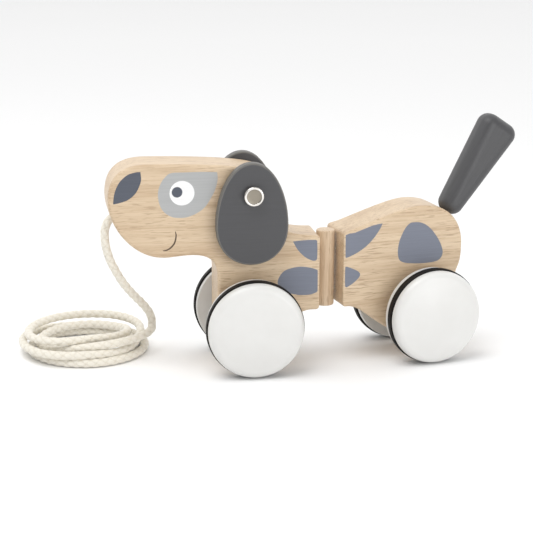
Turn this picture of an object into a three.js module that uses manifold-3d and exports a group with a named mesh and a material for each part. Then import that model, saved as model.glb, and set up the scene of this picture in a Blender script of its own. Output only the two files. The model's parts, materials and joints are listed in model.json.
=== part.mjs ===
// A wooden pull-along dog: two shaped planks joined by a round wooden waist post and two
// elastic cords, on four grooved wheels, with swinging ears, a slanted tail and a cotton cord.
// Millimetres, +Z up, nose towards -X. The dog's left side faces -Y.
import * as THREE from 'three';
import { mergeVertices } from 'three/addons/utils/BufferGeometryUtils.js';
import Module from 'manifold-3d';

const wasm = await Module();
wasm.setup();

// ---- driving dimensions -------------------------------------------------------------------
const GAP = 0.3; // left between neighbouring pieces
const PLANK = 26.9; // thickness of both body halves
const EDGE = 1.5; // radius rounded onto the planks' edges
const HALF_PLANK = PLANK / 2;

const TYRE_RADIUS = 28.6;
const AXLE_HEIGHT = TYRE_RADIUS; // above the floor; other heights are above the axle line
const AXLE_RADIUS = 2.5;
const AXLE_BORE = 2.9; // in the planks, where the axle turns
const HUB_BORE = AXLE_RADIUS + GAP;
const REAR_AXLE = 58.5; // behind the waist axis
const LEG_RADIUS = 19.7; // round leg end about each axle

const WAIST = 46.1; // waist axis behind the front axle
const REST_BEND = THREE.MathUtils.degToRad(9.8);
const FRONT_FACE = 40.2; // end face of the front half, behind the front axle
const REAR_FACE = 6.3; // end face of the rear half, behind the waist axis
const POST_RADIUS = 5.5;
const POST_BOTTOM = 5;
const POST_TOP = 50.7;
const ELASTIC_HEIGHTS = { upper_elastic: 38.8, lower_elastic: 14.7 };
const ELASTIC_RADIUS = 1.4;
const ELASTIC_BORE = 2;
const ELASTIC_REACH = 19; // each way from the waist axis
const ELASTIC_STRAIGHT = 5; // where its bend begins, each way from the waist axis

const EAR_PIN = new THREE.Vector2(-0.4, 76.8);
const EAR_PIN_RADIUS = 2.2;
const EAR_BORE = 2.6;
const EAR_THICKNESS = 6.3;
const EAR_EDGE = 0.8;
const EAR_WASHER = 0.6;
const CAP_RADIUS = 5.8;
const CAP_HEIGHT = 3.6;

const TAIL_BASE = new THREE.Vector2(77.3, 55.3); // behind the waist axis, above the axle line
const TAIL_LEAN = THREE.MathUtils.degToRad(33.4); // back from upright
const TAIL_LENGTH = 64.8;
const TAIL_BASE_WIDTH = 14.4;
const TAIL_TOP_WIDTH = 25.2;
const TAIL_THICKNESS = 16;
const TAIL_EDGE = 6;
const TAIL_BASE_CORNER = 7;
const TAIL_TOP_CORNER = 6.2;
const PEG_RADIUS = 3;
const PEG_DEPTH = 13; // into the tail, and into the rump

const CORD_RADIUS = 2.6;
const CORD_EXIT = new THREE.Vector2(-79.3, 62.2); // mouth of its bore in the muzzle
const CORD_SLOPE = THREE.MathUtils.degToRad(20); // its bore falls outwards by this
const CORD_BORE = 3.3;
const CORD_BORE_DEPTH = 14;
const COIL_CENTRE = new THREE.Vector2(-93, 38.5);
const COIL_INNER = 19.6;
const COIL_OUTER = 42;
const COIL_HEIGHT = 15.2;
const KNOT_RADIUS = 5.2;

// Free stretch of the cord, from just inside the muzzle to the top of the coil, above the floor.
const CORD_ROUTE = [
  [-77.2, 0, 91.6],
  [-79.9, 0, 90.0],
  [-82.1, 0.2, 86.2],
  [-83.1, 1.2, 79.6],
  [-82.2, 3.6, 72.0],
  [-79.8, 7.2, 63.6],
  [-76.1, 11.4, 55.4],
  [-71.8, 16.2, 47.2],
  [-66.6, 21.4, 39.3],
  [-60.9, 26.9, 31.5],
  [-55.9, 32.0, 24.0],
  [-53.0, 36.4, 18.0],
];

// ---- finishes -----------------------------------------------------------------------------
const finish = (color, roughness, metalness = 0) =>
  new THREE.MeshStandardMaterial({ color, roughness, metalness });
const WOOD = finish(0xd2b28c, 0.6);
const CHARCOAL = finish(0x4a4a4c, 0.55);
const WHITE = finish(0xf2f0ec, 0.35);
const RUBBER = finish(0x1c1a19, 0.8);
const NICKEL = finish(0xc6c0b6, 0.25, 1);
const STEEL = finish(0xa9abad, 0.35, 1);
const NYLON = finish(0xe6e4de, 0.5);
const ELASTIC = finish(0xd9d2c4, 0.8);
const COTTON = finish(0xe9e1d0, 0.95);

// ---- solids -------------------------------------------------------------------------------
function toSolid(geometry) {
  const bare = geometry.index ? geometry.clone() : geometry;
  bare.deleteAttribute('normal');
  bare.deleteAttribute('uv');
  const merged = mergeVertices(bare, 1e-4);
  return new wasm.Manifold(new wasm.Mesh({
    numProp: 3,
    vertProperties: new Float32Array(merged.attributes.position.array),
    triVerts: new Uint32Array(merged.index.array),
  }));
}

function toGeometry(solid) {
  const { vertProperties, triVerts } = solid.getMesh();
  const geometry = new THREE.BufferGeometry();
  geometry.setAttribute('position', new THREE.BufferAttribute(vertProperties, 3));
  geometry.setIndex(new THREE.BufferAttribute(triVerts, 1));
  return geometry;
}

const cut = (geometry, tools) =>
  toGeometry(tools.reduce((solid, tool) => solid.subtract(toSolid(tool)), toSolid(geometry)));

// A cylinder from one point to another.
function rod(radius, from, to, sides = 24) {
  const start = new THREE.Vector3(...from);
  const along = new THREE.Vector3(...to).sub(start);
  const turn = new THREE.Quaternion().setFromUnitVectors(
    new THREE.Vector3(0, 1, 0), along.clone().normalize());
  return new THREE.CylinderGeometry(radius, radius, along.length(), sides)
    .applyQuaternion(turn)
    .translate(...start.addScaledVector(along, 0.5));
}

// An outline drawn in X and Z, given its thickness along Y about the mid-plane.
function plank(outline, thickness, edge, bevelSegments = 3) {
  return new THREE.ExtrudeGeometry(outline, {
    depth: thickness - 2 * edge,
    bevelThickness: edge,
    bevelSize: edge,
    bevelOffset: -edge,
    bevelSegments,
    curveSegments: 7,
  })
    .translate(0, 0, edge - thickness / 2)
    .rotateX(Math.PI / 2);
}

// A profile of [radius, height] points turned about the Y axis.
const turned = (profile, sides = 36) =>
  new THREE.LatheGeometry(profile.map(([r, y]) => new THREE.Vector2(r, y)), sides);

function piece(name, geometry, material) {
  const mesh = new THREE.Mesh(geometry, material);
  mesh.name = name;
  return mesh;
}

// ---- the two body halves ------------------------------------------------------------------
function frontOutline() {
  const s = new THREE.Shape();
  s.moveTo(FRONT_FACE, 8);
  s.lineTo(FRONT_FACE, 48);
  s.quadraticCurveTo(FRONT_FACE, 50, 38, 50.2);
  s.bezierCurveTo(34, 50.6, 29.5, 50.8, 26, 51.6); // nape
  s.bezierCurveTo(16, 53.9, 12, 62, 12, 73);
  s.bezierCurveTo(12, 82, 9.5, 87.8, 5, 89.4);
  s.bezierCurveTo(-4.3, 93.9, -52.6, 94.8, -60, 94.8); // crown
  s.bezierCurveTo(-75.5, 94.8, -82, 87, -82, 74); // nose
  s.bezierCurveTo(-82, 59.7, -68.6, 40.1, -50, 40.1); // muzzle and chin
  s.bezierCurveTo(-39.5, 40.1, -LEG_RADIUS, 46.2, -LEG_RADIUS, 28); // throat
  s.lineTo(-LEG_RADIUS, 0);
  s.absarc(0, 0, LEG_RADIUS, Math.PI, 1.74 * Math.PI, false);
  s.bezierCurveTo(22.1, -2.4, 25.3, 5.6, 38, 5.6); // belly
  s.quadraticCurveTo(FRONT_FACE, 5.8, FRONT_FACE, 8);
  return s;
}

function rearOutline() {
  const s = new THREE.Shape();
  s.moveTo(REAR_FACE, 8.2);
  s.quadraticCurveTo(REAR_FACE, 6, 8.5, 6);
  s.bezierCurveTo(19.8, 6, 27.9, -8.9, 43.6, -12.8); // belly
  s.absarc(REAR_AXLE, 0, LEG_RADIUS, 1.22 * Math.PI, 2 * Math.PI, false);
  s.bezierCurveTo(78.2, 31.7, 83, 17.8, 83, 38); // haunch
  s.bezierCurveTo(83, 50.8, 75.4, 63.5, 55, 63.5); // rump
  s.bezierCurveTo(44.2, 63.5, 21.5, 54.8, 8.3, 51.2); // loin
  s.quadraticCurveTo(REAR_FACE, 50.6, REAR_FACE, 48.6);
  s.closePath();
  return s;
}

const acrossPlank = (radius, x, z) => rod(radius, [x, -HALF_PLANK - 1, z], [x, HALF_PLANK + 1, z]);

function cordBore() {
  const inwards = [Math.cos(CORD_SLOPE), 0, Math.sin(CORD_SLOPE)];
  const along = (distance) => [
    CORD_EXIT.x + distance * inwards[0], 0, CORD_EXIT.y + distance * inwards[2]];
  return rod(CORD_BORE, along(-6), along(CORD_BORE_DEPTH), 24);
}

function frontBody() {
  const elasticBores = Object.values(ELASTIC_HEIGHTS).map((z) =>
    rod(ELASTIC_BORE, [WAIST - ELASTIC_REACH - 1, 0, z], [FRONT_FACE + 1, 0, z], 12));
  return cut(plank(frontOutline(), PLANK, EDGE), [
    acrossPlank(AXLE_BORE, 0, 0),
    acrossPlank(EAR_BORE, EAR_PIN.x, EAR_PIN.y),
    cordBore(),
    ...elasticBores,
  ]);
}

// A point on the tail's centre line, this far up from its base.
const onTail = (distance) => [
  TAIL_BASE.x + distance * Math.sin(TAIL_LEAN), 0, TAIL_BASE.y + distance * Math.cos(TAIL_LEAN)];

function rearBody() {
  const elasticBores = Object.values(ELASTIC_HEIGHTS).map((z) =>
    rod(ELASTIC_BORE, [REAR_FACE - 1, 0, z], [ELASTIC_REACH + 1, 0, z], 12));
  return cut(plank(rearOutline(), PLANK, EDGE), [
    acrossPlank(AXLE_BORE, REAR_AXLE, 0),
    rod(PEG_RADIUS + GAP, onTail(-PEG_DEPTH - 1), onTail(6), 24),
    ...elasticBores,
  ]);
}

// ---- the waist ----------------------------------------------------------------------------
function waistPost() {
  const chamfer = 0.7;
  const post = turned([
    [0, POST_BOTTOM], [POST_RADIUS - chamfer, POST_BOTTOM],
    [POST_RADIUS, POST_BOTTOM + chamfer], [POST_RADIUS, POST_TOP - chamfer],
    [POST_RADIUS - chamfer, POST_TOP], [0, POST_TOP],
  ], 28).rotateX(Math.PI / 2);
  const bores = Object.values(ELASTIC_HEIGHTS).map((z) =>
    rod(ELASTIC_BORE, [-POST_RADIUS - 1, 0, z], [POST_RADIUS + 1, 0, z], 12));
  return cut(post, bores);
}

// An elastic cord at its height: straight in each half, bent where it passes through the post.
function elastic(height) {
  const inFront = (distance) => new THREE.Vector3(-distance, 0, height);
  const inRear = (distance) => new THREE.Vector3(
    distance * Math.cos(REST_BEND), distance * Math.sin(REST_BEND), height);
  const path = new THREE.CurvePath();
  path.add(new THREE.LineCurve3(inFront(ELASTIC_REACH), inFront(ELASTIC_STRAIGHT)));
  path.add(new THREE.QuadraticBezierCurve3(
    inFront(ELASTIC_STRAIGHT), inFront(0), inRear(ELASTIC_STRAIGHT)));
  path.add(new THREE.LineCurve3(inRear(ELASTIC_STRAIGHT), inRear(ELASTIC_REACH)));
  return tube(path, ELASTIC_RADIUS, 12, 8);
}

function tube(path, radius, steps, sides) {
  const corners = Array.from({ length: sides }, (_, i) => {
    const angle = (2 * Math.PI * i) / sides;
    return new THREE.Vector2(radius * Math.cos(angle), radius * Math.sin(angle));
  });
  return new THREE.ExtrudeGeometry(new THREE.Shape(corners), { steps, extrudePath: path });
}

// ---- ears and tail ------------------------------------------------------------------------
// Drawn about the pin's axis; the egg hangs from it, wide end down.
function ear() {
  const top = 18.5;
  const bottom = -40.6;
  const waistline = -17.8;
  const half = 20.8;
  const middle = -0.3;
  const s = new THREE.Shape();
  s.moveTo(middle, top);
  s.bezierCurveTo(middle - 13, top, middle - half, waistline + 17, middle - half, waistline);
  s.bezierCurveTo(middle - half, waistline - 14, middle - 12, bottom, middle, bottom);
  s.bezierCurveTo(middle + 12, bottom, middle + half, waistline - 14, middle + half, waistline);
  s.bezierCurveTo(middle + half, waistline + 17, middle + 13, top, middle, top);
  const bore = rod(EAR_BORE, [0, -EAR_THICKNESS, 0], [0, EAR_THICKNESS, 0]);
  return cut(plank(s, EAR_THICKNESS, EAR_EDGE, 2), [bore]);
}

// Drawn upright from its base; rounded corners, and edges rounded nearly to half its thickness.
function tail() {
  const taper = Math.atan((TAIL_TOP_WIDTH - TAIL_BASE_WIDTH) / 2 / TAIL_LENGTH);
  const low = TAIL_BASE_CORNER;
  const high = TAIL_TOP_CORNER;
  const baseX = TAIL_BASE_WIDTH / 2 - low;
  const topX = TAIL_TOP_WIDTH / 2 - high;
  const s = new THREE.Shape();
  s.absarc(baseX, low, low, -Math.PI / 2, -taper, false);
  s.absarc(topX, TAIL_LENGTH - high, high, -taper, Math.PI / 2, false);
  s.absarc(-topX, TAIL_LENGTH - high, high, Math.PI / 2, Math.PI + taper, false);
  s.absarc(-baseX, low, low, Math.PI + taper, 1.5 * Math.PI, false);
  s.closePath();
  const bore = rod(PEG_RADIUS + GAP, [0, 0, -1], [0, 0, PEG_DEPTH + 1], 24);
  return cut(plank(s, TAIL_THICKNESS, TAIL_EDGE), [bore]);
}

// ---- wheels -------------------------------------------------------------------------------
// Heights are distances from the plank's mid-plane, outwards along the axle.
const WASHER_INNER = HALF_PLANK + GAP;
const WASHER_THICKNESS = 1;
const HUB_FACE = WASHER_INNER + WASHER_THICKNESS + GAP;
const HUB_RADIUS = 8;
const FLANGE_INNER = 20.2;
const FLANGE_RADIUS = 27.7;
const GROOVE_INNER = 24.4;
const GROOVE_OUTER = 29.6;
const GROOVE_RADIUS = 25.8;
const DISC_RADIUS = 27.9;
const RIM_END = 30.8; // where the disc's edge begins to round over
const FACE_RADIUS = 23;
const FACE_EDGE = 35.6;
const WHEEL_OUTER = 37.8;
const AXLE_END = 30;

function wheel() {
  const rim = [20, 45, 70].map((degrees) => {
    const angle = THREE.MathUtils.degToRad(degrees);
    return [
      FACE_RADIUS + (DISC_RADIUS - FACE_RADIUS) * Math.cos(angle),
      RIM_END + (FACE_EDGE - RIM_END) * Math.sin(angle),
    ];
  });
  const dome = [16, 8, 0].map((r) =>
    [r, WHEEL_OUTER - (WHEEL_OUTER - FACE_EDGE) * (r / FACE_RADIUS) ** 2]);
  return turned([
    [0, AXLE_END + GAP], [HUB_BORE, AXLE_END + GAP], [HUB_BORE, HUB_FACE],
    [HUB_RADIUS, HUB_FACE], [HUB_RADIUS, FLANGE_INNER],
    [FLANGE_RADIUS - 0.7, FLANGE_INNER], [FLANGE_RADIUS, FLANGE_INNER + 0.7],
    [FLANGE_RADIUS, GROOVE_INNER], [GROOVE_RADIUS, GROOVE_INNER],
    [GROOVE_RADIUS, GROOVE_OUTER], [DISC_RADIUS, GROOVE_OUTER], [DISC_RADIUS, RIM_END],
    ...rim, [FACE_RADIUS, FACE_EDGE], ...dome,
  ]);
}

function tyre() {
  const inner = GROOVE_RADIUS + GAP;
  const low = GROOVE_INNER + GAP;
  const high = GROOVE_OUTER - GAP;
  const shoulder = 0.6;
  return turned([
    [inner, low], [TYRE_RADIUS - shoulder, low], [TYRE_RADIUS, low + shoulder],
    [TYRE_RADIUS, high - shoulder], [TYRE_RADIUS - shoulder, high], [inner, high], [inner, low],
  ]);
}

const ring = (inner, outer, low, high, sides = 20) =>
  turned([[inner, low], [outer, low], [outer, high], [inner, high], [inner, low]], sides);

// One axle with its two wheels; the right side is the left side turned end for end.
function wheelPair(end, x) {
  const pair = new THREE.Group();
  pair.position.x = x;
  pair.add(piece(`${end}_axle`, rod(AXLE_RADIUS, [0, -AXLE_END, 0], [0, AXLE_END, 0]), STEEL));
  for (const [side, turn] of [['left', Math.PI], ['right', 0]]) {
    const half = new THREE.Group();
    half.rotation.x = turn;
    half.add(
      piece(`${end}_${side}_wheel`, wheel(), WHITE),
      piece(`${end}_${side}_tyre`, tyre(), RUBBER),
      piece(`${end}_${side}_washer`, ring(HUB_BORE, 6, WASHER_INNER,
        WASHER_INNER + WASHER_THICKNESS), NYLON),
    );
    pair.add(half);
  }
  return pair;
}

// ---- ear pin and its caps -----------------------------------------------------------------
const EAR_INNER = HALF_PLANK + 2 * GAP + EAR_WASHER;
const CAP_INNER = EAR_INNER + EAR_THICKNESS + GAP;
const PIN_END = CAP_INNER + 2;

function pinCap() {
  const top = CAP_INNER + CAP_HEIGHT;
  return turned([
    [0, PIN_END + GAP], [EAR_PIN_RADIUS + GAP, PIN_END + GAP],
    [EAR_PIN_RADIUS + GAP, CAP_INNER], [CAP_RADIUS - 0.3, CAP_INNER],
    [CAP_RADIUS, CAP_INNER + 0.5], [CAP_RADIUS, top - 1.9], [CAP_RADIUS - 0.5, top - 0.8],
    [CAP_RADIUS - 1.5, top], [0, top],
  ], 24);
}

function earSet() {
  const set = new THREE.Group();
  set.position.set(EAR_PIN.x, 0, EAR_PIN.y);
  set.add(piece('ear_pin', rod(EAR_PIN_RADIUS, [0, -PIN_END, 0], [0, PIN_END, 0]), STEEL));
  for (const [side, turn, sign] of [['left', Math.PI, -1], ['right', 0, 1]]) {
    const egg = piece(`${side}_ear`, ear(), CHARCOAL);
    egg.position.y = sign * (EAR_INNER + EAR_THICKNESS / 2);
    const half = new THREE.Group();
    half.rotation.x = turn;
    half.add(
      piece(`${side}_ear_washer`, ring(EAR_BORE, 5.5, HALF_PLANK + GAP,
        HALF_PLANK + GAP + EAR_WASHER), NYLON),
      piece(`${side}_ear_cap`, pinCap(), NICKEL),
    );
    set.add(egg, half);
  }
  return set;
}

// ---- pull cord ----------------------------------------------------------------------------
function pullCord() {
  const route = new THREE.CatmullRomCurve3(
    CORD_ROUTE.map((point) => new THREE.Vector3(...point)), false, 'centripetal');
  const coil = ring(COIL_INNER, COIL_OUTER, 0, COIL_HEIGHT, 36)
    .rotateX(Math.PI / 2)
    .translate(COIL_CENTRE.x, COIL_CENTRE.y, 0);
  const knot = new THREE.SphereGeometry(KNOT_RADIUS, 12, 8).translate(
    COIL_CENTRE.x, COIL_CENTRE.y - COIL_INNER + KNOT_RADIUS + GAP, KNOT_RADIUS);
  return [
    piece('pull_cord_lead', tube(route, CORD_RADIUS, 36, 8), COTTON),
    piece('pull_cord_coil', coil, COTTON),
    piece('pull_cord_knot', knot, COTTON),
  ];
}

// ---- assembly -----------------------------------------------------------------------------
// Drawn about the front axle's middle, then moved so that the origin lies on the floor under
// the middle of the toy's own box, cord left out.
function assemble() {
  const front = new THREE.Group();
  front.add(piece('front_body', frontBody(), WOOD), wheelPair('front', 0), earSet());

  const waist = new THREE.Group();
  waist.position.x = WAIST;
  const post = piece('waist_post', waistPost(), WOOD);
  post.rotation.z = REST_BEND / 2;
  waist.add(post);
  for (const [name, height] of Object.entries(ELASTIC_HEIGHTS)) {
    waist.add(piece(name, elastic(height), ELASTIC));
  }

  const rear = new THREE.Group();
  rear.position.x = WAIST;
  rear.rotation.z = REST_BEND;
  const tailMesh = piece('tail', tail(), CHARCOAL);
  tailMesh.position.set(TAIL_BASE.x, 0, TAIL_BASE.y);
  tailMesh.rotation.y = TAIL_LEAN;
  rear.add(
    piece('rear_body', rearBody(), WOOD),
    wheelPair('rear', REAR_AXLE),
    tailMesh,
    piece('tail_peg', rod(PEG_RADIUS, onTail(-PEG_DEPTH), onTail(PEG_DEPTH), 24), WOOD),
  );

  const toy = new THREE.Group();
  for (const part of [front, waist, rear]) {
    part.position.z = AXLE_HEIGHT;
    toy.add(part);
  }
  const box = new THREE.Box3().setFromObject(toy, true);
  const middle = box.getCenter(new THREE.Vector3());
  toy.add(...pullCord());
  toy.position.set(-middle.x, -middle.y, -box.min.z);
  return toy;
}

export default assemble();
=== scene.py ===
"""A wooden pull-along dog on a pale studio floor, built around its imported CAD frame.

Drawings are in millimetres, in the plane of a body half: x runs back from the front axle (or
from the waist axis, for the rear half), and z is the height above the axle line.
"""

import json
import math

import bmesh
import bpy
from mathutils import Matrix, Vector
from mathutils.geometry import delaunay_2d_cdt


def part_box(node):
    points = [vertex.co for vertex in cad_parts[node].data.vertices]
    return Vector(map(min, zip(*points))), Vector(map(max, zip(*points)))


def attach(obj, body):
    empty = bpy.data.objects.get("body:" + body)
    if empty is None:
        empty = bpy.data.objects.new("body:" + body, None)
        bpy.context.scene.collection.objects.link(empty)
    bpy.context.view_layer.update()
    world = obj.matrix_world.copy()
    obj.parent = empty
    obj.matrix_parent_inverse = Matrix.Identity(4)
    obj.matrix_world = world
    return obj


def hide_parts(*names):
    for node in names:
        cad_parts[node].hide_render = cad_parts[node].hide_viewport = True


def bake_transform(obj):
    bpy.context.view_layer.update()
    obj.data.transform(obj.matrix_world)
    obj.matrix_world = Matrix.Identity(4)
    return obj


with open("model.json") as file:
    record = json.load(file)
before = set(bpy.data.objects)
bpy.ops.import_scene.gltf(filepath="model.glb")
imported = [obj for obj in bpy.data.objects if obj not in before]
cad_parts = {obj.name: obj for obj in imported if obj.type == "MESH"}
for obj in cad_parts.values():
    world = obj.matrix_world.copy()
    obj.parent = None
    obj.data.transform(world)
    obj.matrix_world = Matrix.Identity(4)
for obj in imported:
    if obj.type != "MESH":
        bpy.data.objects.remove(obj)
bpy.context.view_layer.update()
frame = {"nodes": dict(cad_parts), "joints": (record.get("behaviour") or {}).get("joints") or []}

MM = 0.001
scene = bpy.context.scene
JOINT_PLACES = {joint["name"]: Vector(joint["pos_m"]) for joint in frame["joints"]}
HUB = JOINT_PLACES["front_wheels_roll"]
REAR_HUB = JOINT_PLACES["rear_wheels_roll"]
WAIST = JOINT_PLACES["waist_bend"]
EAR_PIN = JOINT_PLACES["left_ear_swing"]
# The rear half is turned by this angle about the waist, as the toy stands.
BEND = math.atan2(REAR_HUB.y - WAIST.y, REAR_HUB.x - WAIST.x)

# From each half's drawing, in millimetres, to the frame.
SCALE = Matrix.Scale(MM, 4)
FRONT = Matrix.Translation(HUB) @ SCALE
REAR = (Matrix.Translation(Vector((WAIST.x, WAIST.y, HUB.z))) @ Matrix.Rotation(BEND, 4, "Z")
        @ SCALE)


# ---- camera -------------------------------------------------------------------------------
CAMERA_YAW, CAMERA_PITCH, CAMERA_ROLL = 10.07, 15.08, 0.31  # degrees
CAMERA_DISTANCE = 0.9181
CAMERA_LENS = 105.75
CAMERA_AIM = Vector((0.01108, 0, 0.02934))  # from the front axle


def set_camera():
    yaw, pitch, roll = (math.radians(a) for a in (CAMERA_YAW, CAMERA_PITCH, CAMERA_ROLL))
    look = Vector((math.sin(yaw) * math.cos(pitch), math.cos(yaw) * math.cos(pitch),
                   -math.sin(pitch)))
    level = Vector((math.cos(yaw), -math.sin(yaw), 0))
    right = level * math.cos(roll) + level.cross(look) * math.sin(roll)
    up = right.cross(look)
    lens = bpy.data.cameras.new("camera")
    lens.lens = CAMERA_LENS
    lens.clip_end = 30
    camera = bpy.data.objects.new("camera", lens)
    camera.matrix_world = Matrix.Translation(
        HUB + CAMERA_AIM - CAMERA_DISTANCE * look) @ Matrix(
            (right, up, -look)).transposed().to_4x4()
    scene.collection.objects.link(camera)
    scene.camera = camera
    scene.view_settings.view_transform = "Standard"


set_camera()


# ---- materials ----------------------------------------------------------------------------
class Look:
    """A procedural material: a Principled shader and the nodes that feed it."""

    def __init__(self, name, **sockets):
        self.material = bpy.data.materials.new(name)
        self.material.use_nodes = True
        self.tree = self.material.node_tree
        self.shader = self.tree.nodes["Principled BSDF"]
        self.place = self.node("ShaderNodeTexCoord").outputs["Object"]
        for socket, value in sockets.items():
            self.feed(self.shader, socket.replace("_", " "), value)

    def feed(self, node, socket, value):
        """Sets a socket to a value, or links it to another node's output."""
        if isinstance(value, bpy.types.NodeSocket):
            self.tree.links.new(value, node.inputs[socket])
        else:
            node.inputs[socket].default_value = value

    def node(self, kind, settings=None, inputs=None):
        node = self.tree.nodes.new(kind)
        for key, value in (settings or {}).items():
            setattr(node, key, value)
        for socket, value in (inputs or {}).items():
            self.feed(node, socket, value)
        return node

    def stretched(self, scale, turn=(0, 0, 0)):
        """Object coordinates turned by turn, then scaled, so larger numbers make finer detail."""
        turned = self.node("ShaderNodeMapping", inputs={"Vector": self.place, "Rotation": turn})
        return self.node("ShaderNodeMapping", inputs={
            "Vector": turned.outputs[0], "Scale": scale}).outputs[0]

    def noise(self, where, detail=3.0, roughness=0.55, distortion=0.0):
        return self.node("ShaderNodeTexNoise", inputs={
            "Vector": where, "Scale": 1.0, "Detail": detail, "Roughness": roughness,
            "Distortion": distortion}).outputs["Fac"]

    def spread(self, value, low, high, to_low=0.0, to_high=1.0):
        return self.node("ShaderNodeMapRange", inputs={
            "Value": value, "From Min": low, "From Max": high, "To Min": to_low,
            "To Max": to_high}).outputs["Result"]

    def maths(self, operation, first, second):
        node = self.node("ShaderNodeMath", {"operation": operation})
        self.feed(node, 0, first)
        self.feed(node, 1, second)
        return node.outputs[0]

    def mix(self, factor, first, second, blend="MIX"):
        node = self.node("ShaderNodeMix", {"data_type": "RGBA", "blend_type": blend})
        self.feed(node, 0, factor)
        self.feed(node, 6, first)
        self.feed(node, 7, second)
        return node.outputs[2]

    def ramp(self, factor, first, last, *between):
        """A colour ramp whose stops are (position, colour)."""
        node = self.node("ShaderNodeValToRGB", inputs={"Fac": factor})
        band = node.color_ramp
        for index, (position, colour) in enumerate((first, last, *between)):
            element = band.elements[index] if index < 2 else band.elements.new(position)
            element.position = position
            element.color = (*colour, 1)
        return node.outputs[0]

    def bump(self, height, strength, distance):
        node = self.node("ShaderNodeBump", inputs={
            "Height": height, "Strength": strength, "Distance": distance})
        self.feed(self.shader, "Normal", node.outputs[0])


def wood(name, turn=(0, 0, 0), painted_light_tint=(1, 1, 1)):
    """Pale lacquered wood whose grain runs along x once the coordinates are turned."""
    look = Look(name, Specular_IOR_Level=0.4, Coat_Weight=0.3, Coat_Roughness=0.32)
    bands = look.noise(look.stretched((9, 60, 170), turn), 2.0, 0.5, 0.6)
    streaks = look.noise(look.stretched((26, 420, 900), turn), 4.0, 0.62, 0.2)
    fibres = look.noise(look.stretched((90, 1500, 3200), turn), 3.0, 0.6)
    dashes = look.noise(look.stretched((115, 1050, 1600), turn), 2.0, 0.5)
    patchy = look.noise(look.stretched((34, 55, 48), turn), 2.0, 0.5)
    tone = look.maths("ADD", look.maths("MULTIPLY", bands, 0.5),
                      look.maths("MULTIPLY", streaks, 0.5))
    colour = look.ramp(tone, (0.33, (0.47, 0.325, 0.20)), (0.68, (0.72, 0.575, 0.41)),
                       (0.45, (0.59, 0.445, 0.295)), (0.55, (0.66, 0.515, 0.355)))
    colour = look.mix(look.spread(fibres, 0.35, 0.65, 0.0, 0.34), colour,
                      (0.51, 0.365, 0.225, 1))
    fleck = look.maths("MULTIPLY", look.spread(dashes, 0.55, 0.64),
                       look.spread(patchy, 0.38, 0.58, 0.3, 1.0))
    colour = look.mix(look.maths("MULTIPLY", fleck, 0.68), colour, (0.29, 0.17, 0.09, 1))
    colour = look.mix(look.spread(patchy, 0.3, 0.7, 0.0, 0.22), colour,
                      (0.70, 0.56, 0.39, 1))
    colour = look.mix(1.0, colour, (*painted_light_tint, 1), "MULTIPLY")
    look.feed(look.shader, "Base Color", colour)
    look.feed(look.shader, "Roughness", look.spread(streaks, 0.3, 0.7, 0.44, 0.6))
    look.bump(look.maths("SUBTRACT", look.maths("MULTIPLY", fibres, 0.4), fleck), 0.25, 0.0001)
    return look.material


def paint(name, colour, turn=(0, 0, 0), show=0.12, roughness=0.5, weight=0.3):
    """A thin coat of paint that lets a little of the grain through.

    show is how far the grain shifts the colour, and weight is the strength of the gloss.
    """
    look = Look(name, Specular_IOR_Level=weight)
    fibres = look.noise(look.stretched((40, 700, 1500), turn), 3.0, 0.6)
    cloud = look.noise(look.stretched((45, 45, 45), turn), 2.0, 0.5)
    darker = (*[c * (1 - show) for c in colour], 1)
    lighter = (*[min(1.0, c * (1 + show)) for c in colour], 1)
    shade = look.mix(look.spread(fibres, 0.3, 0.7), darker, lighter)
    shade = look.mix(look.spread(cloud, 0.35, 0.65, 0.0, 0.35), shade, lighter)
    look.feed(look.shader, "Base Color", shade)
    look.feed(look.shader, "Roughness", look.spread(fibres, 0.3, 0.7, roughness - 0.05,
                                                    roughness + 0.06))
    look.bump(fibres, 0.18, 0.0001)
    return look.material


def white_paint(name):
    """Smooth semi-gloss paint, very slightly uneven."""
    look = Look(name, Specular_IOR_Level=0.4, Coat_Weight=0.25, Coat_Roughness=0.25)
    cloud = look.noise(look.stretched((30, 30, 30)), 3.0, 0.6)
    specks = look.noise(look.stretched((900, 900, 900)), 2.0, 0.5)
    look.feed(look.shader, "Base Color", look.mix(
        look.spread(cloud, 0.35, 0.65), (0.685, 0.68, 0.66, 1), (0.72, 0.717, 0.70, 1)))
    look.feed(look.shader, "Roughness", look.spread(specks, 0.3, 0.7, 0.3, 0.4))
    look.bump(specks, 0.06, 0.0001)
    return look.material


def rubber(name):
    """Matt black rubber with a little dust on it."""
    look = Look(name, Specular_IOR_Level=0.2)
    dust = look.noise(look.stretched((180, 180, 180)), 3.0, 0.6)
    grain = look.noise(look.stretched((2600, 2600, 2600)), 2.0, 0.5)
    look.feed(look.shader, "Base Color", look.mix(
        look.spread(dust, 0.4, 0.7), (0.006, 0.005, 0.0045, 1), (0.012, 0.010, 0.009, 1)))
    look.feed(look.shader, "Roughness", look.spread(dust, 0.3, 0.7, 0.5, 0.68))
    look.bump(grain, 0.2, 0.0001)
    return look.material


def metal(name, colour, low, high, scale=(260, 260, 260)):
    """Metal whose roughness wanders from low to high."""
    look = Look(name, Metallic=1.0, Base_Color=(*colour, 1))
    wear = look.noise(look.stretched(scale), 3.0, 0.6)
    look.feed(look.shader, "Roughness", look.spread(wear, 0.3, 0.7, low, high))
    look.bump(wear, 0.05, 0.0001)
    return look.material


def nylon(name):
    """Slightly cloudy off-white plastic."""
    look = Look(name, Specular_IOR_Level=0.4)
    cloud = look.noise(look.stretched((300, 300, 300)), 2.0, 0.5)
    look.feed(look.shader, "Base Color", look.mix(
        look.spread(cloud, 0.35, 0.65), (0.72, 0.71, 0.67, 1), (0.80, 0.79, 0.75, 1)))
    look.feed(look.shader, "Roughness", look.spread(cloud, 0.3, 0.7, 0.4, 0.5))
    return look.material


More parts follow.
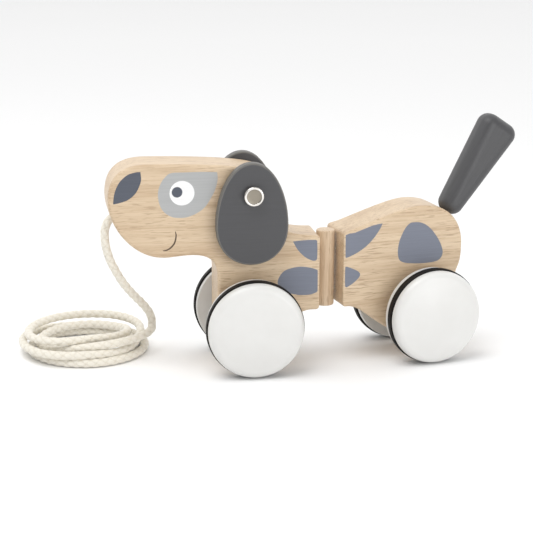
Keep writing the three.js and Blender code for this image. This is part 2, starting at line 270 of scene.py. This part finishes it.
def cotton(name, light, dark):
    """Soft spun cotton: fine fibres, and painted shade that greys the hollows between the
    strands.
    """
    look = Look(name, Specular_IOR_Level=0.15, Roughness=0.9, Sheen_Weight=0.35,
                Sheen_Roughness=0.5)
    fibres = look.noise(look.stretched((1500, 1500, 1500)), 4.0, 0.65)
    cloud = look.noise(look.stretched((120, 120, 120)), 2.0, 0.5)
    # Painted shade: the lower a point lies between the strands, the nearer its colour is to the
    # dark one.
    depth = look.node("ShaderNodeAttribute", {"attribute_name": "relief"}).outputs["Fac"]
    shade = look.mix(look.spread(depth, 0.0, 0.75), (*dark, 1), (*light, 1))
    shade = look.mix(look.spread(fibres, 0.35, 0.7, 0.0, 0.3), shade, (*dark, 1))
    shade = look.mix(look.spread(cloud, 0.4, 0.7, 0.0, 0.2), shade, (*light, 1))
    look.feed(look.shader, "Base Color", shade)
    look.bump(fibres, 0.5, 0.0002)
    return look.material


# Turns that lay each piece's grain along x.
ALONG_REAR = (0, 0, -BEND)
UPRIGHT = (0, math.pi / 2, 0)
ALONG_TAIL = (0, math.radians(56.6), 0)

WOOD_FRONT = wood("wood_front")
WOOD_REAR = wood("wood_rear", ALONG_REAR)
# The post's wood is tinted a little lighter and cooler: painted light on the post, which stands
# in shade between the halves.
WOOD_POST = wood("wood_post", UPRIGHT, (1.02, 1.02, 1.04))
BLUE_GREY = (0.183, 0.199, 0.245)
PATCH = paint("patch_blue_grey", BLUE_GREY, show=0.06)
PATCH_REAR = paint("patch_blue_grey_rear", BLUE_GREY, ALONG_REAR, show=0.06)
NOSE = paint("nose_slate", (0.092, 0.102, 0.128), show=0.06)
EYE_PATCH = paint("eye_patch_grey", (0.405, 0.41, 0.41), show=0.05)
EYE_WHITE = paint("eye_white", (0.84, 0.84, 0.84), show=0.02)
PUPIL = paint("pupil_slate", (0.086, 0.096, 0.122), show=0.04)
MOUTH = paint("mouth_line", (0.11, 0.075, 0.05), show=0.1)
CHARCOAL = paint("charcoal_ear", (0.072, 0.072, 0.076), show=0.05, roughness=0.5, weight=0.35)
CHARCOAL_RIM = paint("charcoal_ear_rim", (0.142, 0.137, 0.128), show=0.1, roughness=0.5)
CHARCOAL_TAIL = paint("charcoal_tail", (0.062, 0.062, 0.065), ALONG_TAIL, show=0.12,
                      roughness=0.42, weight=0.45)
WHITE = white_paint("white_wheel")
RUBBER = rubber("rubber_ring")
NICKEL = metal("nickel", (0.78, 0.75, 0.71), 0.08, 0.16)
NICKEL_FACE = metal("nickel_face", (0.27, 0.243, 0.2), 0.28, 0.4, (900, 900, 900))
# The step's dark nickel is painted shade, for the recess inside the button's rim.
NICKEL_PAINTED_SHADE = metal("nickel_step_painted_shade", (0.14, 0.125, 0.105), 0.2, 0.3)
STEEL = metal("steel", (0.55, 0.56, 0.57), 0.25, 0.4, (60, 1800, 1800))
NYLON = nylon("nylon")
# Each cord's second colour is the painted shade in its hollows, and also the colour of its darker
# fibres.
COTTON = cotton("cotton_cord", (0.83, 0.795, 0.71), (0.66, 0.60, 0.49))
ELASTIC = cotton("elastic_cord", (0.60, 0.55, 0.47), (0.32, 0.27, 0.21))


# ---- mesh helpers -------------------------------------------------------------------------
def piece(name, verts, faces, materials, body, replaces=(), picks=None, normals=None):
    """A smooth mesh object that rides on a body and stands for CAD nodes."""
    mesh = bpy.data.meshes.new(name)
    mesh.from_pydata([tuple(v) for v in verts], [], faces)
    for material in materials:
        mesh.materials.append(material)
    mesh.polygons.foreach_set("use_smooth", [True] * len(mesh.polygons))
    if picks:
        mesh.polygons.foreach_set("material_index", picks)
    mesh.update()
    if normals:
        mesh.normals_split_custom_set_from_vertices([tuple(n) for n in normals])
    obj = bpy.data.objects.new(name, mesh)
    scene.collection.objects.link(obj)
    if body:
        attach(obj, body)
    if replaces:
        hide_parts(*replaces)
    return obj


def bezier(points, steps=18):
    """Points along a cubic from four controls, the first left out."""
    a, b, c, d = (Vector(p) for p in points)
    out = []
    for i in range(1, steps + 1):
        t = i / steps
        s = 1 - t
        out.append(a * s ** 3 + b * 3 * s * s * t + c * 3 * s * t * t + d * t ** 3)
    return out


def arc(centre, radius, start, end, steps=36):
    """Points along a circle, from the start angle to the end angle."""
    return [Vector((centre[0] + radius * math.cos(start + (end - start) * i / steps),
                    centre[1] + radius * math.sin(start + (end - start) * i / steps)))
            for i in range(steps + 1)]


def even(points, step):
    """The closed outline resampled at equal distances, about step apart."""
    loop = [p for i, p in enumerate(points) if (p - points[i - 1]).length > 1e-6]
    marks = [0.0]
    for i, p in enumerate(loop):
        marks.append(marks[-1] + (loop[(i + 1) % len(loop)] - p).length)
    count = max(12, round(marks[-1] / step))
    out, k = [], 0
    for i in range(count):
        at = marks[-1] * i / count
        while marks[k + 1] < at:
            k += 1
        share = (at - marks[k]) / (marks[k + 1] - marks[k])
        out.append(loop[k].lerp(loop[(k + 1) % len(loop)], share))
    return out


def smooth_run(points, steps=8, closed=False):
    """A Catmull-Rom line through the points."""
    n = len(points)
    pts = [Vector(p) for p in points]
    out = []
    for i in range(n if closed else n - 1):
        p1, p2 = pts[i], pts[(i + 1) % n]
        p0 = pts[i - 1] if closed or i else p1 * 2 - p2
        p3 = pts[(i + 2) % n] if closed or i + 2 < n else p2 * 2 - p1
        for k in range(steps):
            t = k / steps
            out.append(0.5 * ((2 * p1) + (p2 - p0) * t + (2 * p0 - 5 * p1 + 4 * p2 - p3) * t * t
                              + (3 * p1 - p0 - 3 * p2 + p3) * t ** 3))
    if not closed:
        out.append(pts[-1])
    return out


def patch(points, corners=()):
    """A painted patch's outline: smooth through its points, turning sharply at the corners."""
    if not corners:
        return smooth_run(points, closed=True)
    out = []
    for i, start in enumerate(corners):
        end = corners[(i + 1) % len(corners)]
        stop = end if end > start else end + len(points)
        out += smooth_run([points[k % len(points)] for k in range(start, stop + 1)])[:-1]
    return out


def inside(point, loop):
    """Whether the point lies within the closed loop."""
    odd = False
    x, y = point
    ax, ay = loop[-1]
    for bx, by in loop:
        if (by > y) != (ay > y) and x < (ax - bx) * (y - by) / (ay - by) + bx:
            odd = not odd
        ax, ay = bx, by
    return odd


def plank(name, outline, half, edge, place, materials, body, replaces,
          patches=(), rim=0, rounds=7, centre=0.0):
    """A flat piece cut to an outline, with its edges rounded and patches painted on both faces.

    edge is the rounding's radius, or a function that gives it at a point. patches are
    (outline, material index); rim is the material index of everything but the two faces.
    """
    n = len(outline)
    area = sum(outline[i - 1].cross(outline[i]) for i in range(n))
    if area < 0:
        outline = outline[::-1]
    outward, radii = [], []
    for i, p in enumerate(outline):
        along = outline[(i + 1) % n] - outline[i - 1]
        outward.append(Vector((along.y, -along.x)).normalized())
        radii.append(edge(p) if callable(edge) else edge)
    turn = place.to_3x3().normalized()
    verts, normals, faces, picks = [], [], [], []

    def ring(side, angle):
        start = len(verts)
        for p, o, r in zip(outline, outward, radii):
            q = p - o * r * (1 - math.cos(angle))
            y = centre + side * (half - r * (1 - math.sin(angle)))
            verts.append(place @ Vector((q.x, y, q.y)))
            normals.append(turn @ Vector((o.x * math.cos(angle), side * math.sin(angle),
                                          o.y * math.cos(angle))))
        return start

    rings = [ring(-1, math.pi / 2 * (1 - k / rounds)) for k in range(rounds + 1)]
    rings += [ring(1, math.pi / 2 * k / rounds) for k in range(rounds + 1)]
    for low, high in zip(rings, rings[1:]):
        for i in range(n):
            j = (i + 1) % n
            faces.append((low + i, high + i, high + j, low + j))
            picks.append(rim)
    shapes = [([p - o * r for p, o, r in zip(outline, outward, radii)], 0), *patches]
    points, edges = [], []
    for shape, _ in shapes:
        first, count = len(points), len(shape)
        edges += [(first + k, first + (k + 1) % count) for k in range(count)]
        points += shape
    cut, _, triangles, _, _, _ = delaunay_2d_cdt(points, edges, [], 0, 1e-5, False)
    painted = []
    for triangle in triangles:
        middle = sum((cut[k] for k in triangle), Vector((0, 0))) / len(triangle)
        holding = [index for shape, index in shapes if inside(middle, shape)]
        painted.append(holding[-1] if holding and inside(middle, shapes[0][0]) else None)
    for side in (-1, 1):
        start = len(verts)
        for p in cut:
            verts.append(place @ Vector((p.x, centre + side * half, p.y)))
            normals.append(turn @ Vector((0, side, 0)))
        for triangle, index in zip(triangles, painted):
            if index is not None:
                corners = [start + k for k in triangle]
                faces.append(corners if side < 0 else corners[::-1])
                picks.append(index)
    return piece(name, verts, faces, materials, body, replaces, picks, normals)


def lathe(name, profile, place, materials, body, replaces, segments=128, bands=None):
    """A profile of (radius, distance outwards) turned about the place's own y axis.

    bands gives the material index of each stretch of the profile.
    """
    verts, faces, picks = [], [], []
    for r, y in profile:
        for i in range(segments):
            angle = 2 * math.pi * i / segments
            verts.append(place @ Vector((r * math.cos(angle), y, r * math.sin(angle))))
    for k in range(len(profile) - 1):
        for i in range(segments):
            j = (i + 1) % segments
            low, high = k * segments, (k + 1) * segments
            faces.append((low + i, high + i, high + j, low + j))
            picks.append(bands[k] if bands else 0)
    obj = piece(name, verts, faces, materials, body, replaces, picks)
    work = bmesh.new()
    work.from_mesh(obj.data)
    bmesh.ops.remove_doubles(work, verts=work.verts, dist=1e-7)
    bmesh.ops.recalc_face_normals(work, faces=work.faces)
    work.to_mesh(obj.data)
    work.free()
    obj.data.set_sharp_from_angle(angle=math.radians(38))
    return obj


# ---- pull cord ----------------------------------------------------------------------------
# The free stretch, in the front half's frame but above the floor, as in the CAD.
CORD_RADIUS = 2.6
# Cells around the cord, a cell's length, and its depth as a share of the cord's radius.
BRAID = (3, 5.6 * MM, 0.24)
KNOT_RADIUS, KNOT_REACH, KNOT_LIFT = 0.78 * CORD_RADIUS, 1.05, 2.6
CORD_ROUTE = [
    (-77.2, 0, 91.6), (-80.6, 0, 89.1), (-82.6, 0.3, 84.8), (-83.1, 1.2, 79.6),
    (-82.2, 3.6, 72.0), (-79.8, 7.2, 63.6), (-76.1, 11.4, 55.4), (-71.8, 16.2, 47.2),
    (-66.4, 21.4, 39.3), (-60.3, 26.9, 31.5), (-56.2, 30.6, 25.7), (-54.0, 32.2, 20.8),
    (-53.6, 31.0, 16.4), (-55.0, 27.4, 13.6),
]
COIL_CENTRE = (-93, 38.5)
EIGHTH = 6  # points that each eighth of a turn is drawn with
# The coil's radius and height at each eighth of a turn, clockwise from its right-hand side.
COIL_RADII = [41.5, 34.0, 29.3, 28.7, 27.9, 27.8, 27.8, 26.6, 25.1, 22.8, 22.3, 33.5, 34.5,
              32.9, 32.5, 32.4, 33.0, 32.0, 33.6, 38.7, 38.0, 38.2, 37.4, 36.3, 35.4, 35.1,
              35.1, 34.0, 33.2, 31.4, 29.4, 29.9, 29.4, 24.1, 15.2]
COIL_HEIGHTS = [12.4, 12.2, 10.6, 7.0, 5.9, 6.6, 7.2, 8.0, 10.8, 12.4, 13.4, 13.7, 12.3,
                12.4, 12.6, 13.0, 12.0, 6.5, 7.2, 7.5, 7.2, 5.3, 3.7, 2.8, 2.6, 2.6,
                2.6, 2.6, 2.6, 2.6, 2.6, 2.6, 2.6, 2.7, 4.2]


def cord_path(step=0.36):
    """The cord's middle line in metres, in even steps, from the muzzle to the knot."""
    rings = smooth_run(list(zip(COIL_RADII, COIL_HEIGHTS)), EIGHTH)
    coil = []
    for i, (radius, height) in enumerate(rings):
        angle = -2 * math.pi * i / (8 * EIGHTH)
        coil.append(Vector((COIL_CENTRE[0] + radius * math.cos(angle),
                            COIL_CENTRE[1] + radius * math.sin(angle), height)))
    line = smooth_run([Vector(p) for p in CORD_ROUTE] + coil[4::2], 10)
    origin = Vector((HUB.x / MM, HUB.y / MM, 0))
    out, spare = [line[0]], 0.0
    for a, b in zip(line, line[1:]):
        gap = (b - a).length
        while spare + gap >= step:
            a = a.lerp(b, (step - spare) / gap)
            out.append(a)
            gap = (b - a).length
            spare = 0.0
        spare += gap
    return [(p + origin) * MM for p in out]


def braided_tube(name, path, radius, cells, pitch, relief, around=28):
    """A round braid along a path: strands pass over and under each other in diamonds."""
    verts, faces, depths = [], [], []
    side = Vector((0, 1, 0))
    travelled = 0.0
    for i, p in enumerate(path):
        ahead = (path[min(i + 1, len(path) - 1)] - path[max(i - 1, 0)]).normalized()
        side = (side - ahead * side.dot(ahead)).normalized()
        other = ahead.cross(side)
        if i:
            travelled += (p - path[i - 1]).length
        for k in range(around):
            turn = k / around
            a = cells * turn + travelled / pitch
            b = cells * turn - travelled / pitch
            over = (math.floor(a) + math.floor(b)) % 2
            height = math.sqrt(math.sin(math.pi * ((b if over else a) % 1.0)))
            cross = math.sin(math.pi * ((a if over else b) % 1.0))
            height *= 0.75 + 0.25 * cross
            r = radius * (1 - relief * (1 - height))
            angle = 2 * math.pi * turn
            verts.append(p + (side * math.cos(angle) + other * math.sin(angle)) * r)
            depths.append(height)
    for i in range(len(path) - 1):
        for k in range(around):
            j = (k + 1) % around
            faces.append((i * around + k, i * around + j, (i + 1) * around + j,
                          (i + 1) * around + k))
    last = (len(path) - 1) * around
    faces.append(tuple(range(around))[::-1])
    faces.append(tuple(range(last, last + around)))
    return verts, faces, depths


def braid_piece(name, path, radius, material, body, slot, replaces, cells, pitch, relief,
                around=28):
    """A braided tube as a piece, with its strands' height kept for the material, which paints
    shade into the hollows from it.
    """
    verts, faces, depths = braided_tube(name, path, radius, cells, pitch, relief, around)
    obj = piece(name, verts, faces, [material], body, replaces)
    obj.data.attributes.new("relief", "FLOAT", "POINT").data.foreach_set("value", depths)
    return obj


def pull_cord():
    path = cord_path()
    low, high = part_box("pull_cord_knot")
    middle = (low + high) / 2
    loops = []
    for i in range(90):
        t = 2 * math.pi * i / 89
        loops.append(middle + Vector((
            (math.sin(t) + 2 * math.sin(2 * t)) * KNOT_REACH,
            (math.cos(t) - 2 * math.cos(2 * t)) * KNOT_REACH,
            -math.sin(3 * t) * KNOT_LIFT)) * MM)
    knot = braid_piece("cord_end_knot", loops, KNOT_RADIUS * MM, COTTON, "front_half",
                       "cotton", ["pull_cord_knot"], *BRAID)
    cord = braid_piece("pull_cord", path, CORD_RADIUS * MM, COTTON, "front_half", "cotton",
                       ["pull_cord_lead", "pull_cord_coil"], *BRAID)


pull_cord()


# ---- painted marks ------------------------------------------------------------------------
# Each patch comes with the index of its material in its plank.
FRONT_PATCHES = [
    (patch([(24.1, 47.3), (28.2, 47.7), (33, 47.9), (37.6, 47.8), (38.4, 47.2), (38.6, 42),
            (38.5, 36.4), (37.6, 35.4), (35.5, 35.5), (31.3, 37.8), (27.1, 42.1)],
           corners=(0, 3, 4, 6)), 1),
    (patch([(15.5, 24.6), (18.4, 29.3), (22.5, 31.2), (28.4, 32.1), (34.3, 31.3), (38.3, 30.0),
            (38.9, 29.4), (39.0, 23), (39.0, 17.1), (38.4, 16.2), (34.5, 15.0), (28.6, 15.0),
            (24.4, 15.8), (19, 17), (16, 20)],
           corners=(5, 6, 8, 9)), 1),
]
NOSE_PATCH = patch([(-63.3, 90.8), (-66.3, 90.6), (-70.9, 89.1), (-75.4, 84.9), (-78.0, 79.3),
                    (-78.9, 73.6), (-78.7, 72.7), (-75.1, 73.4), (-70.5, 75.0), (-66.5, 78.3),
                    (-64.2, 82.3), (-63.0, 86.2)], corners=(0, 6))
EYE = patch([(-46.1, 89.6), (-38.2, 89.8), (-28, 89.8), (-19.9, 89.4), (-19.7, 84.9),
             (-21.2, 79.1), (-23.5, 74.6), (-26.9, 69.5), (-31.5, 66.1), (-36.7, 64.0),
             (-41.3, 63.6), (-45.8, 64.3), (-49.8, 66.8), (-52.5, 70.9), (-53.6, 76.2),
             (-53.3, 80.2), (-51.8, 84.2), (-49.5, 87.3)], corners=(3,))
MOUTH_LINE = [(-44.0, 55.8), (-43.6, 53.2), (-44.5, 49.1), (-46.9, 46.2), (-49.4, 44.9),
              (-51.2, 44.8)]
REAR_PATCHES = [
    (patch([(7.3, 49.5), (16.3, 52.3), (25.7, 54.2), (30.5, 54.8), (29.0, 51.6), (25.3, 46.5),
            (20.3, 41.7), (14.7, 38.3), (10.4, 36.5), (7.9, 35.8), (7.4, 36.4), (7.3, 42)],
           corners=(0, 3, 9, 10)), 1),
    (patch([(7.4, 30.4), (8.4, 30.5), (11.8, 29.1), (15.6, 27.0), (16.9, 25.0), (15.7, 22.7),
            (12.0, 19.7), (8.6, 17.9), (7.5, 18.4), (7.3, 24)],
           corners=(0, 1, 7, 8)), 1),
    (patch([(51.3, 53.9), (48.1, 53.5), (45.0, 50.4), (41.9, 44.0), (40.8, 38.0), (41.3, 33.1),
            (43.0, 30.8), (46.9, 29.4), (55.4, 28.5), (63.2, 28.6), (67.7, 29.7),
            (69.9, 32.6), (69.8, 36.3), (67.3, 42.0), (63.1, 47.8), (59.1, 51.5),
            (55.2, 53.4)]), 1),
]


def stroke(points, width):
    """The outline of a thin painted line, narrower at its ends."""
    line = smooth_run(points, 6)
    left, right = [], []
    for i, p in enumerate(line):
        along = (line[min(i + 1, len(line) - 1)] - line[max(i - 1, 0)]).normalized()
        share = math.sin(math.pi * (i + 0.6) / (len(line) + 0.2)) ** 0.35
        across = Vector((-along.y, along.x)) * width / 2 * share
        left.append(p + across)
        right.append(p - across)
    return left + right[::-1]


def disc(x, z, radius):
    """The outline of a painted round spot."""
    return arc((x, z), radius, 0, 2 * math.pi, 40)[:-1]


# ---- body halves --------------------------------------------------------------------------
FRONT_FACE, REAR_FACE = 40.2, 6.3  # the end faces at the waist
LEG = 19.7  # radius of a leg's end about its axle
PLANK_HALF = 13.45  # half the planks' thickness
EDGE_LEAST, EDGE_MOST = 0.7, 2.0  # rounding of the edges, at the end faces and elsewhere


def chained(start, *curves):
    """Joins straight lines, quadratics and cubics, each given by its controls after the first."""
    out = [Vector(start)]
    for curve in curves:
        if len(curve) == 3:
            out += bezier([out[-1], *curve])
        elif len(curve) == 2:
            mid, end = Vector(curve[0]), Vector(curve[1])
            out += bezier([out[-1], out[-1].lerp(mid, 2 / 3), end.lerp(mid, 2 / 3), end], 6)
        else:
            out.append(Vector(curve[0]))
    return out


FRONT_OUTLINE = chained(
    (FRONT_FACE, 8), ((FRONT_FACE, 48),), ((FRONT_FACE, 50), (38, 50.2)),
    ((34, 50.6), (29.5, 50.8), (26, 51.6)), ((16, 53.9), (12, 62), (12, 73)),
    ((12, 82), (9.5, 87.8), (5, 89.4)), ((-4.3, 93.9), (-52.6, 94.8), (-60, 94.8)),
    ((-75.5, 94.8), (-82, 87), (-82, 74)), ((-82, 59.7), (-68.6, 40.1), (-50, 40.1)),
    ((-39.5, 40.1), (-LEG, 46.2), (-LEG, 28)), ((-LEG, 0),))
FRONT_OUTLINE += arc((0, 0), LEG, math.pi, 1.74 * math.pi)[1:]
FRONT_OUTLINE += chained(FRONT_OUTLINE[-1], ((22.1, -2.4), (25.3, 5.6), (38, 5.6)),
                         ((FRONT_FACE, 5.8), (FRONT_FACE, 8)))[1:-1]

REAR_OUTLINE = chained((REAR_FACE, 8.2), ((REAR_FACE, 6), (8.5, 6)),
                       ((19.8, 6), (27.9, -8.9), (43.6, -12.8)))
REAR_OUTLINE += arc((58.5, 0), LEG, 1.22 * math.pi, 2 * math.pi)
REAR_OUTLINE += chained(REAR_OUTLINE[-1], ((78.2, 31.7), (83, 17.8), (83, 38)),
                        ((83, 50.8), (75.4, 63.5), (55, 63.5)),
                        ((44.2, 63.5), (21.5, 54.8), (8.3, 51.2)),
                        ((REAR_FACE, 50.6), (REAR_FACE, 48.6)))[1:]


def easing(face):
    """The planks' edges are rounded less at their end faces."""
    return lambda p: EDGE_LEAST + (EDGE_MOST - EDGE_LEAST) * min(
        1.0, max(0.0, (abs(p.x - face) - 1.0) / 5))


plank("front_plank", even(FRONT_OUTLINE, 0.9), PLANK_HALF, easing(FRONT_FACE), FRONT,
      [WOOD_FRONT, PATCH, NOSE, EYE_PATCH, EYE_WHITE, PUPIL, MOUTH], "front_half",
      ["front_body"],
      FRONT_PATCHES + [(NOSE_PATCH, 2), (EYE, 3), (disc(-40.0, 77.9, 7.1), 4),
                      (disc(-42.8, 78.5, 3.05), 5), (stroke(MOUTH_LINE, 0.95), 6)])
plank("rear_plank", even(REAR_OUTLINE, 0.9), PLANK_HALF, easing(REAR_FACE), REAR,
      [WOOD_REAR, PATCH_REAR], "rear_half", ["rear_body"], REAR_PATCHES)


# ---- waist --------------------------------------------------------------------------------
ELASTIC_RADIUS = 1.38
ELASTIC_REACH = 0.0188  # from the waist axis to each end, inside the planks
ELASTIC_TURN = 5 * MM  # the bend is spread over this length on each side of the axis


def waist_dowel():
    """The round post between the two end faces."""
    low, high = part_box("waist_post")
    radius = (high.x - low.x) / 2 / MM
    tall = (high.z - low.z) / MM
    upright = (Matrix.Translation(Vector((WAIST.x, WAIST.y, low.z)))
               @ Matrix.Rotation(math.pi / 2, 4, "X") @ SCALE)
    rim = 0.9
    profile = [(0, 0), (radius - rim, 0)]
    profile += [(radius - rim + rim * math.sin(a), rim - rim * math.cos(a))
                for a in (math.pi / 2 * k / 6 for k in range(1, 7))]
    profile += [(radius - rim + rim * math.cos(a), tall - rim + rim * math.sin(a))
                for a in (math.pi / 2 * k / 6 for k in range(7))]
    profile.append((0, tall))
    lathe("waist_dowel", profile, upright, [WOOD_POST], "waist_post_body",
          ["waist_post"], 72)


def elastics():
    """The two elastic cords, straight inside each half and curved at the waist between them."""
    back = Vector((math.cos(BEND), math.sin(BEND), 0))
    before, after = Vector((-ELASTIC_TURN, 0, 0)), back * ELASTIC_TURN
    for name in ("upper_elastic", "lower_elastic"):
        low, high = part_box(name)
        centre = Vector((WAIST.x, WAIST.y, (low.z + high.z) / 2))
        points = []
        for i in range(141):
            s = -ELASTIC_REACH + 2 * ELASTIC_REACH * i / 140
            if s < -ELASTIC_TURN:
                p = Vector((s, 0, 0))
            elif s > ELASTIC_TURN:
                p = back * s
            else:
                t = (s / ELASTIC_TURN + 1) / 2
                p = before * (1 - t) ** 2 + after * t * t
            points.append(p + centre)
        cord = braid_piece(name + "_cord", points, ELASTIC_RADIUS * MM, ELASTIC, None, "elastic",
                           [name], 4, 1.6 * MM, 0.08, 16)
        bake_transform(cord)


waist_dowel()
elastics()


# ---- ears ---------------------------------------------------------------------------------
def ears():
    """Two egg-shaped flaps on one pin, each under a domed metal button."""
    # The egg's top, bottom, height of its widest part, half width and middle, from the pin.
    top, bottom, wide, half, middle = 18.5, -40.6, -17.8, 20.8, -0.3
    egg = [Vector((middle, top))]
    for controls in (
            ((middle - 13, top), (middle - half, wide + 17), (middle - half, wide)),
            ((middle - half, wide - 14), (middle - 12, bottom), (middle, bottom)),
            ((middle + 12, bottom), (middle + half, wide - 14), (middle + half, wide)),
            ((middle + half, wide + 17), (middle + 13, top), (middle, top))):
        egg += bezier([egg[-1], *controls], 30)
    for side, sign in (("left", -1), ("right", 1)):
        low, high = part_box(f"{side}_ear")
        centre = ((low.y + high.y) / 2 - EAR_PIN.y) / MM
        plank(f"{side}_ear_flap", even(egg[:-1], 0.8), (high.y - low.y) / 2 / MM, 0.9,
              Matrix.Translation(EAR_PIN) @ SCALE, [CHARCOAL, CHARCOAL_RIM],
              f"{side}_ear_body", [f"{side}_ear"], rim=1, centre=centre)
        low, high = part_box(f"{side}_ear_cap")
        inner = ((low.y if sign > 0 else high.y) - EAR_PIN.y) * sign / MM
        outer = ((high.y if sign > 0 else low.y) - EAR_PIN.y) * sign / MM
        rim = [(5.0 + 0.8 * math.cos(a), outer - 1.5 + 1.5 * math.sin(a))
               for a in (math.pi * k / 16 for k in range(9))]
        rim += [(4.62 + 0.38 * math.cos(a), outer - 0.3 + 0.3 * math.sin(a))
                for a in (math.pi / 2 + math.pi / 2 * k / 6 for k in range(1, 7))]
        profile = [(0, inner), (5.2, inner), (5.6, inner + 0.15), (5.8, inner + 0.6)] + rim
        profile += [(4.1, outer - 0.34), (2.0, outer - 0.32), (0, outer - 0.32)]
        # Bright rim, then the step inside it in dark nickel, which is painted shade in that
        # recess, then the dull face in the middle.
        bands = [0] * (len(profile) - 1)
        bands[-5:] = [2, 2, 2, 1, 1]
        flip = Matrix.Rotation(math.pi, 4, "X") if sign < 0 else Matrix.Identity(4)
        lathe(f"{side}_ear_button", profile, Matrix.Translation(EAR_PIN) @ flip @ SCALE,
              [NICKEL, NICKEL_FACE, NICKEL_PAINTED_SHADE], "front_half",
              [f"{side}_ear_cap"], 96, bands)


ears()


# ---- tail ---------------------------------------------------------------------------------
def tail():
    """A tapered paddle with round ends and well-rounded edges, leaning back."""
    base, lean, length = Vector((77.3, 55.3)), math.radians(33.4), 64.8
    base_width, top_width = 14.4, 25.2
    base_round, top_round = 7.0, 6.9
    taper = math.atan((top_width - base_width) / 2 / length)
    bottom, top = base_width / 2 - base_round, top_width / 2 - top_round
    loop = arc((bottom, base_round), base_round, -math.pi / 2, -taper, 16)
    loop += arc((top, length - top_round), top_round, -taper, math.pi / 2, 16)
    loop += arc((-top, length - top_round), top_round, math.pi / 2, math.pi + taper, 16)
    loop += arc((-bottom, base_round), base_round, math.pi + taper, 1.5 * math.pi, 16)
    place = REAR @ Matrix.Translation(Vector((base.x, 0, base.y))) @ Matrix.Rotation(
        lean, 4, "Y")
    plank("tail_paddle", even(loop, 0.7), 8.0, 6.8, place, [CHARCOAL_TAIL], "rear_half",
          ["tail"], rounds=14)


tail()


# ---- wheels -------------------------------------------------------------------------------
def rounded(points, radius, steps=4):
    """A profile with its inner corners rounded by about radius."""
    pts = [Vector(p) for p in points]
    out = [pts[0]]
    for before, at, after in zip(pts, pts[1:], pts[2:]):
        r = min(radius, (at - before).length * 0.45, (after - at).length * 0.45)
        a = at + (before - at).normalized() * r
        b = at + (after - at).normalized() * r
        out += [a] + bezier([a, a.lerp(at, 0.6), b.lerp(at, 0.6), b], steps)
    return out + [pts[-1]]


def wheels():
    """Four domed discs, each with a rubber ring in its groove."""
    face = 23.0  # radius of the dome
    edge = [(face + 4.9 * math.cos(a), 30.8 + 4.8 * math.sin(a))
            for a in (math.pi / 2 * k / 14 for k in range(14))]
    dome = [(r, 37.8 - 2.2 * (r / face) ** 2) for r in (23, 20, 16, 12, 8, 4, 0)]
    profile = rounded([(2.8, 16), (2.8, 15.05), (8, 15.05), (8, 20.2), (27.7, 20.2), (27.7, 24.4),
                       (25.8, 24.4), (25.8, 29.6), (27.9, 29.6), (27.9, 30.8)], 0.7)[:-1]
    profile += [Vector(p) for p in edge + dome]
    ring = rounded([(26.1, 24.7), (28.4, 24.7), (28.6, 25.5), (28.6, 28.5), (28.4, 29.3),
                    (26.1, 29.3)], 0.5)
    for end, hub, turn in (("front", HUB, 0.0), ("rear", REAR_HUB, BEND)):
        for side, flip in (("left", math.pi), ("right", 0.0)):
            place = (Matrix.Translation(hub) @ Matrix.Rotation(turn, 4, "Z")
                     @ Matrix.Rotation(flip, 4, "X") @ SCALE)
            node = f"{end}_{side}"
            lathe(node + "_disc", profile, place, [WHITE], end + "_wheels",
                  [node + "_wheel"], 144)
            lathe(node + "_ring", ring + [ring[0]], place, [RUBBER], end + "_wheels",
                  [node + "_tyre"], 144)


wheels()


# ---- carried-over CAD nodes ---------------------------------------------------------------
for cad_name, cad_object in frame["nodes"].items():
    for ending, finish in (("_washer", NYLON), ("_axle", STEEL), ("_pin", STEEL),
                           ("_peg", WOOD_REAR)):
        if cad_name.endswith(ending):
            cad_object.data.materials.clear()
            cad_object.data.materials.append(finish)


# ---- studio -------------------------------------------------------------------------------
def area_light(name, place, target, size, power):
    """A soft round light at a place, aimed at a target."""
    light = bpy.data.lights.new(name, "AREA")
    light.shape = "DISK"
    light.size = size
    light.energy = power
    obj = bpy.data.objects.new(name, light)
    obj.location = place
    obj.rotation_euler = (Vector(target) - Vector(place)).to_track_quat("-Z", "Y").to_euler()
    scene.collection.objects.link(obj)


def studio_floor():
    """Pale paper, with painted light that makes it a little lighter further away."""
    mesh = bpy.data.meshes.new("studio_floor")
    mesh.from_pydata([(-6, -6, 0), (6, -6, 0), (6, 6, 0), (-6, 6, 0)], [], [(0, 1, 2, 3)])
    look = Look("floor_paper", Specular_IOR_Level=0.1, Roughness=0.9)
    grain = look.noise(look.stretched((60, 60, 60)), 2.0)
    # Painted light: the paper's colour whitens with distance from the toy, up to plain white.
    away = look.node("ShaderNodeVectorMath", {"operation": "LENGTH"}, {"Vector": look.place})
    near = look.mix(grain, (0.93, 0.93, 0.93, 1), (0.94, 0.94, 0.94, 1))
    look.feed(look.shader, "Base Color", look.mix(
        look.spread(away.outputs["Value"], 0.4, 1.6), near, (1, 1, 1, 1)))
    mesh.materials.append(look.material)
    floor = bpy.data.objects.new("studio_floor", mesh)
    scene.collection.objects.link(floor)


def studio_light():
    """An even surround, dimmer in front of the toy than behind it, and three soft lights."""
    world = bpy.data.worlds.new("studio")
    world.use_nodes = True
    tree = world.node_tree
    back = tree.nodes["Background"]
    way = tree.nodes.new("ShaderNodeTexCoord")
    split = tree.nodes.new("ShaderNodeSeparateXYZ")
    fall = tree.nodes.new("ShaderNodeMapRange")
    for socket, value in (("From Min", -0.3), ("From Max", 0.3), ("To Min", 0.5),
                          ("To Max", 1.2)):
        fall.inputs[socket].default_value = value
    tree.links.new(way.outputs["Generated"], split.inputs[0])
    tree.links.new(split.outputs["Y"], fall.inputs["Value"])
    tree.links.new(fall.outputs["Result"], back.inputs["Strength"])
    back.inputs["Color"].default_value = (1, 1, 1, 1)
    scene.world = world
    area_light("key", (-0.45, -0.35, 1.25), (0, 0, 0.05), 1.0, 8.5)
    area_light("fill", (0.6, -1.45, 0.5), (0.03, 0, 0.05), 1.2, 4.3)
    area_light("low_fill", (0.5, -0.75, 0.14), (0.05, 0, 0.05), 0.5, 1.5)


studio_floor()
studio_light()
